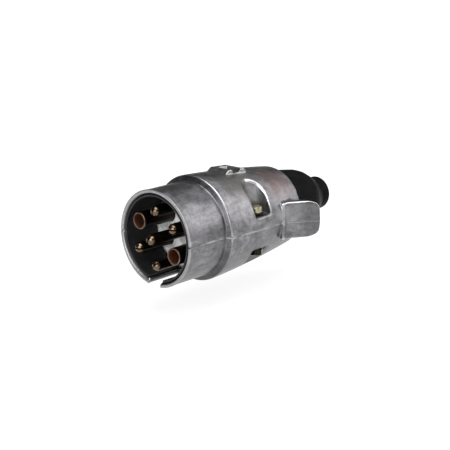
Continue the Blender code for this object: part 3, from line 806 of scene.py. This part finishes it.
def surface_bend(mesh, points, normals):
    """How sharply the surface bends at every vertex: above 0 on outer edges, below 0 in corners."""
    count = len(points)
    edges = np.empty(len(mesh.edges) * 2, dtype=np.int32)
    mesh.edges.foreach_get("vertices", edges)
    a, b = edges.reshape(-1, 2).T
    step = points[a] - points[b]
    step /= np.maximum(np.linalg.norm(step, axis=1), 1e-6)[:, None]
    links = np.bincount(a, minlength=count) + np.bincount(b, minlength=count)
    bend = (np.bincount(a, (normals[a] * step).sum(1), count)
            - np.bincount(b, (normals[b] * step).sum(1), count)) / links
    for _ in range(2):
        spread = (np.bincount(a, bend[b], count) + np.bincount(b, bend[a], count)) / links
        bend = 0.5 * bend + 0.5 * spread
    return bend


def finish_casting(mesh):
    """Stores where the casting is rubbed and carries painted highlights (wear_and_highlight) and where
    painted shade darkens it (recess_shade), and gives it true normals.

    Both start from how sharply the surface bends, and are then set by place to match the photo.
    """
    points = points_of(mesh)
    normals = np.empty(len(points) * 3, dtype=np.float32)
    mesh.vertex_normals.foreach_get("vector", normals)
    normals = normals.reshape(-1, 3)
    bend = surface_bend(mesh, points, normals)
    radius, miss, _ = turned_zones(points)
    across, y, z = np.abs(points[:, 0]), points[:, 1], points[:, 2]
    turned = (np.abs(miss) < 0.03) & np.logical_or(*turned_parts(y))
    # Convex edges are lightened: partly rubbed wear, partly painted highlight.
    wear_and_highlight = np.clip((bend - 0.035) / 0.10, 0.0, 1.0)
    wear_and_highlight[turned] = 0.0
    wear_and_highlight[(y < 0.35) & (radius > SHROUD_BORE_R)] = 0.25
    wear_and_highlight[(y > FLANGE_Y - 1.5) & (y < FLANGE_Y + 1.5) & (z < -2.0)] *= 0.3
    # Painted light: the lower rear wall inside each pocket is made paler.
    from_screw = np.hypot(across - SCREW_X, y - SCREW_Y) - POCKET_R
    in_pocket = (z > UPPER_FLOOR - 0.2) & (from_screw < 0.1) & (miss < -0.4)
    pale = 0.4 * np.clip((y - SCREW_Y) / 4.0, 0.0, 1.0) * np.clip((17.0 - z) / 7.0, 0.0, 1.0)
    wear_and_highlight[in_pocket] = pale[in_pocket]
    # Painted highlight: a bright line round the rear half of each pocket's mouth.
    mouth = np.abs(from_screw - 0.2) < 0.55
    mouth &= (np.abs(miss) < 0.9) & (y > SCREW_Y - 0.5) & (z > UPPER_FLOOR)
    wear_and_highlight[mouth] = 0.85
    # Painted highlight along the wings' rounded top edges and top outer corners.
    outward = np.sign(points[:, 0]) * normals[:, 0] * 0.85 - normals[:, 1] * 0.53
    rounding = np.clip(1.0 - np.abs(normals[:, 2] - 0.62) / 0.34, 0.0, 1.0) * (outward > 0.15)
    rounding *= (miss > 0.9) & (y > 62.0) & (z > -2.0)
    wear_and_highlight = np.maximum(wear_and_highlight, np.minimum(1.0, 2.2 * rounding))
    line = -SEAM_DROP * np.clip((y - SEAM_KNEE) / (BARREL_END - SEAM_KNEE), 0.0, 1.0)
    ledge = (np.abs(z - UPPER_FLOOR) < 0.9) | (np.abs(z + LOWER_FLOOR) < 0.9)
    ledge &= (np.abs(y - SCREW_Y) < POCKET_R + 0.6) & (across > 15.0)
    wear_and_highlight[ledge | (np.abs(y - SCREW_Y) < POCKET_R + 1.0) & (z < -LOWER_FLOOR)] *= 0.25
    on_lug = (y > 38.5) & (y < 54.0) & (z > 21.5) & (across < 7.0)
    wear_and_highlight[on_lug] = np.maximum(0.6 * wear_and_highlight[on_lug], 0.12)
    wear_and_highlight *= np.clip((np.abs(z - line) - 0.2) / 0.8, 0.25, 1.0)
    # Painted shade: creases, the flange step, the inside of the shroud and the lug's notch are darkened.
    recess_shade = np.clip((-bend - 0.035) / 0.12, 0.0, 1.0)
    recess_shade[(y > FLANGE_Y - 0.9) & (y < FLANGE_Y + 0.45) & (radius > SHROUD_R + 0.15)] = 0.6
    recess_shade[(radius > SHROUD_BORE_R - 0.3) & (radius < SHROUD_BORE_R + 0.72) & (y < 24.0)] = 1.0
    in_notch = (y > LUG_NOTCH[0]) & (y < LUG_NOTCH[1]) & (z > 20.0) & (across < 6.0)
    recess_shade[in_notch] = 0.45
    store(mesh, "wear_and_highlight", wear_and_highlight)
    store(mesh, "recess_shade", recess_shade)
    slope = np.where(y > 25.0, BARREL_SLOPE + 2.0 * BARREL_CURVE * (y - BARREL_START), 0.0)
    true = np.stack([points[:, 0] / radius, slope, z / radius], axis=1)
    true /= np.linalg.norm(true, axis=1)[:, None]
    normals[turned] = true[turned]
    mesh.shade_smooth()
    mesh.normals_split_custom_set_from_vertices(normals)
    return mesh


# ---------------------------------------------------------------- insulators and boot


def contact_holes(clearance, start, end):
    """Tools that open a hole round every contact."""
    tools = [minus(rod("hole", 0.0, 0.0, PIN_R + clearance, start, end))]
    for angle, _ in PIN_ANGLES.values():
        tools.append(minus(rod("hole", *ring_point(angle), PIN_R + clearance, start, end)))
    for angle in SLEEVE_ANGLES.values():
        tools.append(minus(rod("hole", *ring_point(angle), SLEEVE_R + clearance, start, end)))
    return tools


def carrier_mesh():
    """Contact carrier: the skirt that lines the shroud, the base and the flange in one."""
    corners = [(0.0, 20.6), (18.65, 20.6), (18.65, 0.6), (19.6, 0.6), (19.6, 25.3), (21.4, 25.3),
               (21.4, 27.7), (19.45, 27.7), (19.45, 29.0), (0.0, 29.0)]
    outline = rounded(corners, [0.0, 0.4, 0.15, 0.15, 0.2, 0.25, 0.25, 0.2, 0.3, 0.0], 3)
    return cut(lathe("carrier", outline, 160), [*contact_holes(0.12, 0.8, 30.0), minus(key_block(1.1))])


def disc_mesh():
    """Face disc between the contacts, with a raised lip."""
    corners = [(0.0, 19.3), (17.6, 19.3), (17.75, 18.85), (18.35, 18.85), (18.35, 20.3), (0.0, 20.3)]
    outline = rounded(corners, [0.0, 0.1, 0.2, 0.2, 0.25, 0.0], 3)
    return cut(lathe("disc", outline, 128), contact_holes(0.25, 18.0, 22.0))


def boot_mesh():
    """Rubber boot: collar, groove, tapering body, and a neck with a soft rolled end."""
    corners = [(17.4, 69.6), (17.4, 72.1), (15.6, 72.1), (15.6, 75.7), (16.25, 75.7), (16.25, 82.0),
               (15.85, 87.5), (15.2, 91.8), (14.65, 95.3), (13.75, 98.1), (12.2, 101.0),
               (10.5, 104.0), (9.3, 106.2), (8.3, 107.6), (8.2, 109.0), (8.2, 113.7), (4.8, 113.7),
               (4.8, 107.0), (7.4, 103.5), (10.0, 100.0), (11.7, 96.5), (12.9, 92.0),
               (13.6, 86.0), (13.6, 69.6)]
    radii = [0.5, 0.5, 0.3, 0.3, 0.4, *[3.0] * 7, 1.0, 0.5, 0.5, 1.3, 0.7, 1.0, *[2.0] * 5, 0.5]
    return lathe("boot", rounded(corners, radii, 5, True), 128, "Y", True)


# ---------------------------------------------------------------- contacts and screws


def contact_mesh(outline, back, radius, slot=None):
    """Turned contact with its terminal-screw hole and, on a pin, its slot: slot is (angle, tip)."""
    tools = [minus(rod("screw_hole", 0.0, back - TERMINAL_INSET, 1.35, 0.0, radius + 2.0, "Z", 32))]
    if slot:
        angle, tip = slot
        split = block("split", (-4.0, tip - 1.0, -0.35), (4.0, tip + 8.0, 0.35))
        split.transform(Matrix.Rotation(math.radians(angle), 4, "Y"))
        tools.append(minus(split))
    mesh = cut(lathe("contact", outline, 64), tools)
    return bevelled(mesh, 0.09, 2)


def terminal_tail(radius, back):
    """(radius, y) of a contact's back end, with its wire bore."""
    return [(radius, back - 0.35), (radius - 0.35, back), (1.95, back), (1.7, back - 0.25),
            (1.7, back - 8.0), (0.0, back - 9.0)]


def pin_outline(tip, back):
    """(radius, y) of a pin with a domed tip."""
    dome = [(PIN_R * math.sin(math.radians(a)), tip + PIN_R * (1 - math.cos(math.radians(a))))
            for a in range(0, 91, 6)]
    collar = [(PIN_R, 29.3), (TERMINAL_R - 0.2, 29.3), (TERMINAL_R, 29.5)]
    return dome + collar + terminal_tail(TERMINAL_R, back)


def sleeve_outline(back):
    """(radius, y) of an open sleeve."""
    lip = rounded([(SLEEVE_BORE_R, 16.8), (SLEEVE_BORE_R, 0.8), (SLEEVE_R, 0.8), (SLEEVE_R, 20.0)],
                  [0.0, 0.35, 0.3, 0.0], 4)
    return [(0.0, 17.8)] + lip + terminal_tail(SLEEVE_R, back)


def threaded_screw(head_r, head_height, shank_r, length, pitch, slot_angle):
    """Slotted cheese-head screw along Z with a helical thread and its origin under the head."""
    columns, rows = 32, max(8, int(length / pitch * 7))
    depth = pitch * 0.42
    bm = bmesh.new()
    grid = []
    for row in range(rows + 1):
        z = -length * row / rows
        ring = []
        for column in range(columns):
            turn = column / columns
            phase = (-z / pitch - turn) % 1.0
            wave = 1.0 - abs(2.0 * phase - 1.0)
            fade = min(1.0, -z / pitch, (length + z) / (pitch * 0.8) + 0.2)
            r = (shank_r - depth * (1.0 - wave) * max(0.0, fade)) * (0.86 if row == rows else 1.0)
            ring.append(bm.verts.new((r * MM * math.cos(turn * math.tau),
                                      r * MM * math.sin(turn * math.tau), z * MM)))
        grid.append(ring)
    for upper, lower in zip(grid, grid[1:]):
        for c in range(columns):
            bm.faces.new((upper[c], lower[c], lower[(c + 1) % columns], upper[(c + 1) % columns]))
    bm.faces.new(grid[-1][::-1])
    bm.faces.new(grid[0])
    shank = to_mesh("shank", bm)
    head = rounded([(0.0, head_height), (head_r * 0.55, head_height), (head_r, head_height - 0.25),
                    (head_r, 0.0), (0.0, 0.0)], [0.0, 0.6, 0.3, 0.15, 0.0], 4)
    slot = block("slot", (-5.0, -0.4, head_height - 0.95), (5.0, 0.4, head_height + 1.0))
    slot.transform(Matrix.Rotation(math.radians(slot_angle), 4, "Z"))
    mesh = cut(lathe("head", head, 48, "Z"), [minus(slot)])
    mesh = bevelled(mesh, 0.08, 2)
    bm = bmesh.new()
    bm.from_mesh(mesh)
    bm.from_mesh(shank)
    bpy.data.meshes.remove(shank)
    bpy.data.meshes.remove(mesh)
    return to_mesh("screw", bm)


def nut_mesh():
    """Hexagon nut with chamfered corners, along -Z from its origin."""
    hexagon = prism("hexagon", [ring_point(60 * k, 3.46) for k in range(6)], -2.7, 0.0, plan_view)
    chamfer = [(0.0, 0.0), (2.9, 0.0), (3.5, -0.35), (3.5, -2.35), (2.9, -2.7), (0.0, -2.7)]
    return cut(hexagon, [("INTERSECT", lathe("chamfer", chamfer, 48, "Z")),
                         minus(rod("thread", 0.0, 0.0, 1.95, -4.0, 1.0, "Z", 32))])


def clamp_mesh():
    """Pressed saddle with a rounded arch."""
    base, top, reach, bore = -2.3, -0.7, 12.0, 5.0
    outer = bore + 1.6
    foot = math.degrees(math.asin(top / outer))

    def arc(radius, first, last):
        return [(radius * math.cos(math.radians(first + (last - first) * k / 28)),
                 radius * math.sin(math.radians(first + (last - first) * k / 28))) for k in range(29)]

    outline = [(reach, base), (reach, top), *arc(outer, foot, 180.0 - foot), (-reach, top), (-reach, base),
               (-bore, base), *arc(bore, 180.0, 0.0), (bore, base)]
    mesh = prism("clamp", outline, *SADDLE_Y, front_view)
    holes = [minus(rod("hole", side * CLAMP_SCREW_X, CLAMP_SCREW_Y, CLAMP_HOLE_R, base - 1.0,
                       top + 1.0, "Z", 32)) for side in (-1, 1)]
    return bevelled(cut(mesh, holes), 0.2)


# ---------------------------------------------------------------- the plug

metal = cast_aluminium("cast_aluminium_look")
pin_brass = turned_brass("contact_brass_look", PIN_TIP)
centre_brass = turned_brass("centre_contact_brass_look", CENTRE_TIP)
copper = tarnished_sleeve("sleeve_brass_look")
screw_brass = bright_brass("screw_brass_look")
# Painted shade: the nuts and washers are made nearly black.
shaded_brass = bright_brass("shaded_nut_brass_look", 0.06)
zinc = zinc_plate("zinc_look")
plastic = black_plastic("black_plastic_look")
pale = light_plastic("light_plastic_look")
rubber = black_rubber("black_rubber_look")

piece("upper_shell_cast", cast_shell(True), metal, "upper_shell", "cast_aluminium", "upper_shell",
      sharp=None)
piece("lower_shell_cast", cast_shell(False), metal, "lower_assembly", "cast_aluminium", "lower_shell",
      sharp=None)
piece("contact_carrier_moulded", carrier_mesh(), plastic, "lower_assembly", "black_plastic",
      "contact_carrier")
piece("face_disc_moulded", disc_mesh(), pale, "lower_assembly", "light_plastic", "face_disc")
piece("cable_boot_moulded", boot_mesh(), rubber, "lower_assembly", "black_rubber", "cable_boot", sharp=50.0)


def radial_screw(place, angle, radius, back):
    """Terminal screw that points at the contact's axis."""
    mesh = threaded_screw(2.0, 1.6, 1.05, radius - 0.3, 0.5, 25.0)
    if angle is None:
        mesh = moved(mesh, (0.0, back - TERMINAL_INSET, radius + 0.3))
    else:
        x, z = ring_point(angle, CONTACT_RING_R + radius + 0.3)
        mesh = moved(mesh, (x, back - TERMINAL_INSET, z), math.radians(90.0 - angle))
    name = f"terminal_screw_{place}"
    piece(name + "_turned", mesh, zinc, name, "zinc_steel", name)


for place, (angle, slot_angle) in PIN_ANGLES.items():
    mesh = contact_mesh(pin_outline(PIN_TIP, CONTACT_BACK), CONTACT_BACK, TERMINAL_R,
                        (slot_angle, PIN_TIP))
    x, z = ring_point(angle)
    mesh = moved(mesh, (x, 0.0, z), math.radians(90.0 - angle))
    piece(f"pin_{place}_turned", mesh, pin_brass, "lower_assembly", "brass", f"pin_{place}")
    radial_screw(place, angle, TERMINAL_R, CONTACT_BACK)
for place, angle in SLEEVE_ANGLES.items():
    mesh = contact_mesh(sleeve_outline(CONTACT_BACK), CONTACT_BACK, SLEEVE_R)
    x, z = ring_point(angle)
    mesh = moved(mesh, (x, 0.0, z), math.radians(90.0 - angle))
    piece(f"sleeve_{place}_turned", mesh, copper, "lower_assembly", "brass", f"sleeve_{place}")
    radial_screw(place, angle, SLEEVE_R, CONTACT_BACK)
mesh = contact_mesh(pin_outline(CENTRE_TIP, CENTRE_BACK), CENTRE_BACK, TERMINAL_R,
                    (CENTRE_SLOT_ANGLE, CENTRE_TIP))
piece("pin_centre_turned", mesh, centre_brass, "lower_assembly", "brass", "pin_centre")
radial_screw("centre", None, TERMINAL_R, CENTRE_BACK)

for label, side in (("right", 1), ("left", -1)):
    name = f"housing_screw_{label}"
    mesh = moved(threaded_screw(2.9, 2.8, 1.6, 20.4, 0.7, side * 20.0), (side * SCREW_X, SCREW_Y, HEAD_SEAT))
    piece(name + "_turned", mesh, screw_brass, name, "brass", name)
    ring = rounded([(1.95, 0.0), (3.5, 0.0), (3.5, 0.6), (1.95, 0.6)], 0.15, 3, True)
    mesh = moved(lathe("washer", ring, 48, "Z", True), (side * SCREW_X, SCREW_Y, WASHER_SEAT))
    piece(f"housing_washer_{label}_pressed", mesh, shaded_brass, "upper_shell", "brass",
          f"housing_washer_{label}")
    mesh = moved(nut_mesh(), (side * SCREW_X, SCREW_Y, NUT_TOP))
    piece(f"housing_nut_{label}_turned", mesh, shaded_brass, "lower_assembly", "brass",
          f"housing_nut_{label}")
    name = f"clamp_screw_{label}"
    mesh = moved(threaded_screw(2.2, 1.6, 1.25, 8.0, 0.5, side * 35.0),
                 (side * CLAMP_SCREW_X, CLAMP_SCREW_Y, CLAMP_SEAT))
    piece(name + "_turned", mesh, zinc, name, "zinc_steel", name)
piece("cord_clamp_pressed", clamp_mesh(), zinc, "cord_clamp", "zinc_steel", "cord_clamp")

# ---------------------------------------------------------------- studio


def studio_floor():
    """A plain pale floor that glows by itself, so that it renders nearly white."""
    n = Nodes("floor_look")
    speckle = n.noise(0.02, 2.0)
    n.link(n.ramp(speckle, [(0.3, 0.19), (0.7, 0.21)]), n.shader.inputs["Base Color"])
    n.set(Roughness=0.9, Emission_Color=(1.0, 1.0, 1.0, 1.0), Emission_Strength=FLOOR_GLOW)
    z = cad_low.z - FLOOR_CLEARANCE * MM
    bm = bmesh.new()
    bm.faces.new([bm.verts.new((x * FLOOR_HALF, y * FLOOR_HALF, z))
                  for x, y in ((-1, -1), (1, -1), (1, 1), (-1, 1))])
    mesh = to_mesh("floor", bm)
    mesh.materials.append(n.material)
    floor = scratch(mesh)


def studio_light():
    """A world of broad bright patches over a dim grey, which the camera itself sees as plain white."""
    world = bpy.data.worlds.new("studio")
    bpy.context.scene.world = world
    world.use_nodes = True
    tree = world.node_tree
    background = tree.nodes["Background"]
    coords = tree.nodes.new("ShaderNodeTexCoord").outputs["Generated"]

    def number(operation, a, b):
        node = tree.nodes.new("ShaderNodeMath")
        node.operation = operation
        for socket, item in zip(node.inputs, (a, b)):
            if isinstance(item, (int, float)):
                socket.default_value = item
            else:
                tree.links.new(item, socket)
        return node.outputs["Value"]

    total = None
    for direction, inner, outer, strength in SOFTBOXES:
        dot = tree.nodes.new("ShaderNodeVectorMath")
        dot.operation = "DOT_PRODUCT"
        tree.links.new(coords, dot.inputs[0])
        dot.inputs[1].default_value = Vector(direction).normalized()
        patch = tree.nodes.new("ShaderNodeMapRange")
        patch.interpolation_type = "SMOOTHSTEP"
        patch.inputs["From Min"].default_value = math.cos(math.radians(outer))
        patch.inputs["From Max"].default_value = math.cos(math.radians(inner))
        patch.inputs["To Max"].default_value = strength
        tree.links.new(dot.outputs["Value"], patch.inputs["Value"])
        total = patch.outputs["Result"] if total is None else number("ADD", total, patch.outputs["Result"])
    level = number("ADD", total, WORLD_LEVEL)
    seen = tree.nodes.new("ShaderNodeLightPath").outputs["Is Camera Ray"]
    blend = tree.nodes.new("ShaderNodeMix")
    tree.links.new(seen, blend.inputs["Factor"])
    tree.links.new(level, blend.inputs[2])
    blend.inputs[3].default_value = 1.0
    tree.links.new(blend.outputs[0], background.inputs["Strength"])
    background.inputs["Color"].default_value = (1.0, 1.0, 1.0, 1.0)


def camera():
    """Long lens in front of the plug, above it and to its right."""
    turn, rise, roll = CAMERA_TURN, CAMERA_RISE, CAMERA_ROLL
    back = Vector((math.sin(turn) * math.cos(rise), -math.cos(turn) * math.cos(rise), math.sin(rise)))
    right = Vector((math.cos(turn), math.sin(turn), 0.0))
    up = back.cross(right)
    across = math.cos(roll) * right + math.sin(roll) * up
    upward = -math.sin(roll) * right + math.cos(roll) * up
    data = bpy.data.cameras.new("camera")
    data.sensor_width = 36.0
    data.lens = CAMERA_LENS
    data.clip_start = 0.01
    data.clip_end = 60.0
    obj = bpy.data.objects.new("camera", data)
    bpy.context.scene.collection.objects.link(obj)
    place = back * CAMERA_DISTANCE + across * CAMERA_RIGHT + upward * CAMERA_UP
    obj.matrix_world = Matrix((
        (across.x, upward.x, back.x, place.x),
        (across.y, upward.y, back.y, place.y),
        (across.z, upward.z, back.z, place.z),
        (0.0, 0.0, 0.0, 1.0)))
    bpy.context.scene.camera = obj


studio_floor()
studio_light()
camera()
bpy.context.scene.view_settings.view_transform = "Standard"
